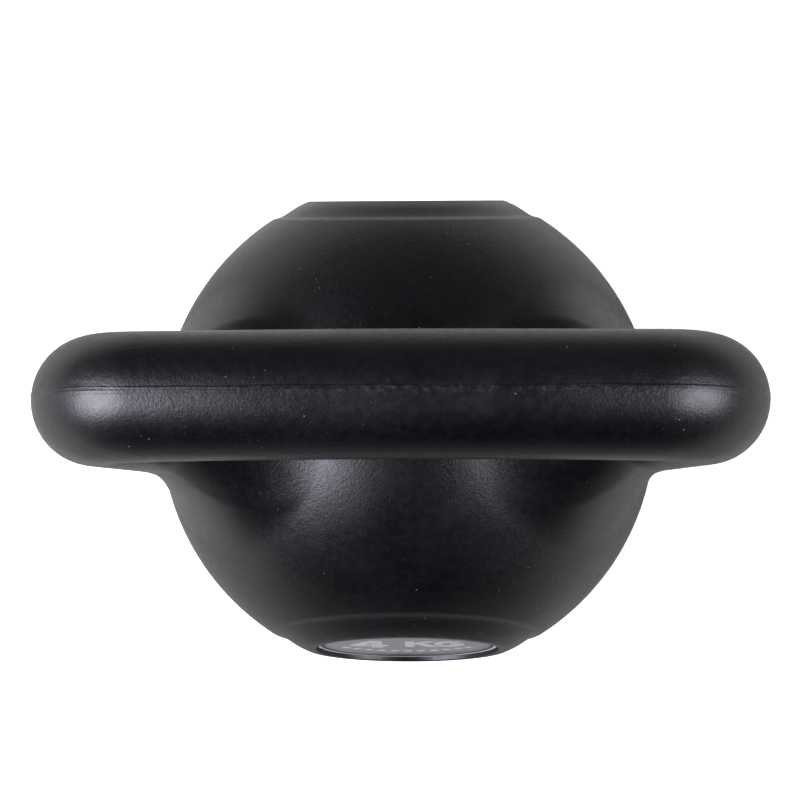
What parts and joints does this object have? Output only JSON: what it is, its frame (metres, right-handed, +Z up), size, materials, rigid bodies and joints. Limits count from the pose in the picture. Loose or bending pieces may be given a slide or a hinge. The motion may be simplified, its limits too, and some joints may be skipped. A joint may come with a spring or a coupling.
{
  "type": "kettlebell",
  "caption": "Round plastic kettlebell filled with cement, with a wide, slightly arched grip, a flat label face front and back, and a flat base.",
  "frame": {"origin": "centre of the bounding box at the level of the face it stands on", "axes": "+X along the grip, +Z up, the front label face towards -Y"},
  "size_m": [0.1898, 0.147, 0.2112],
  "materials": {
    "shell_plastic": "satin, fine pebbled grain",
    "cement": "matte",
    "plug_plastic": "satin",
    "label": "satin"
  },
  "bodies": {
    "root": {"shell": "shell_plastic", "cement_fill": "cement", "filler_plug": "plug_plastic", "front_label": "label", "back_label": "label"}
  },
  "joints": []
}
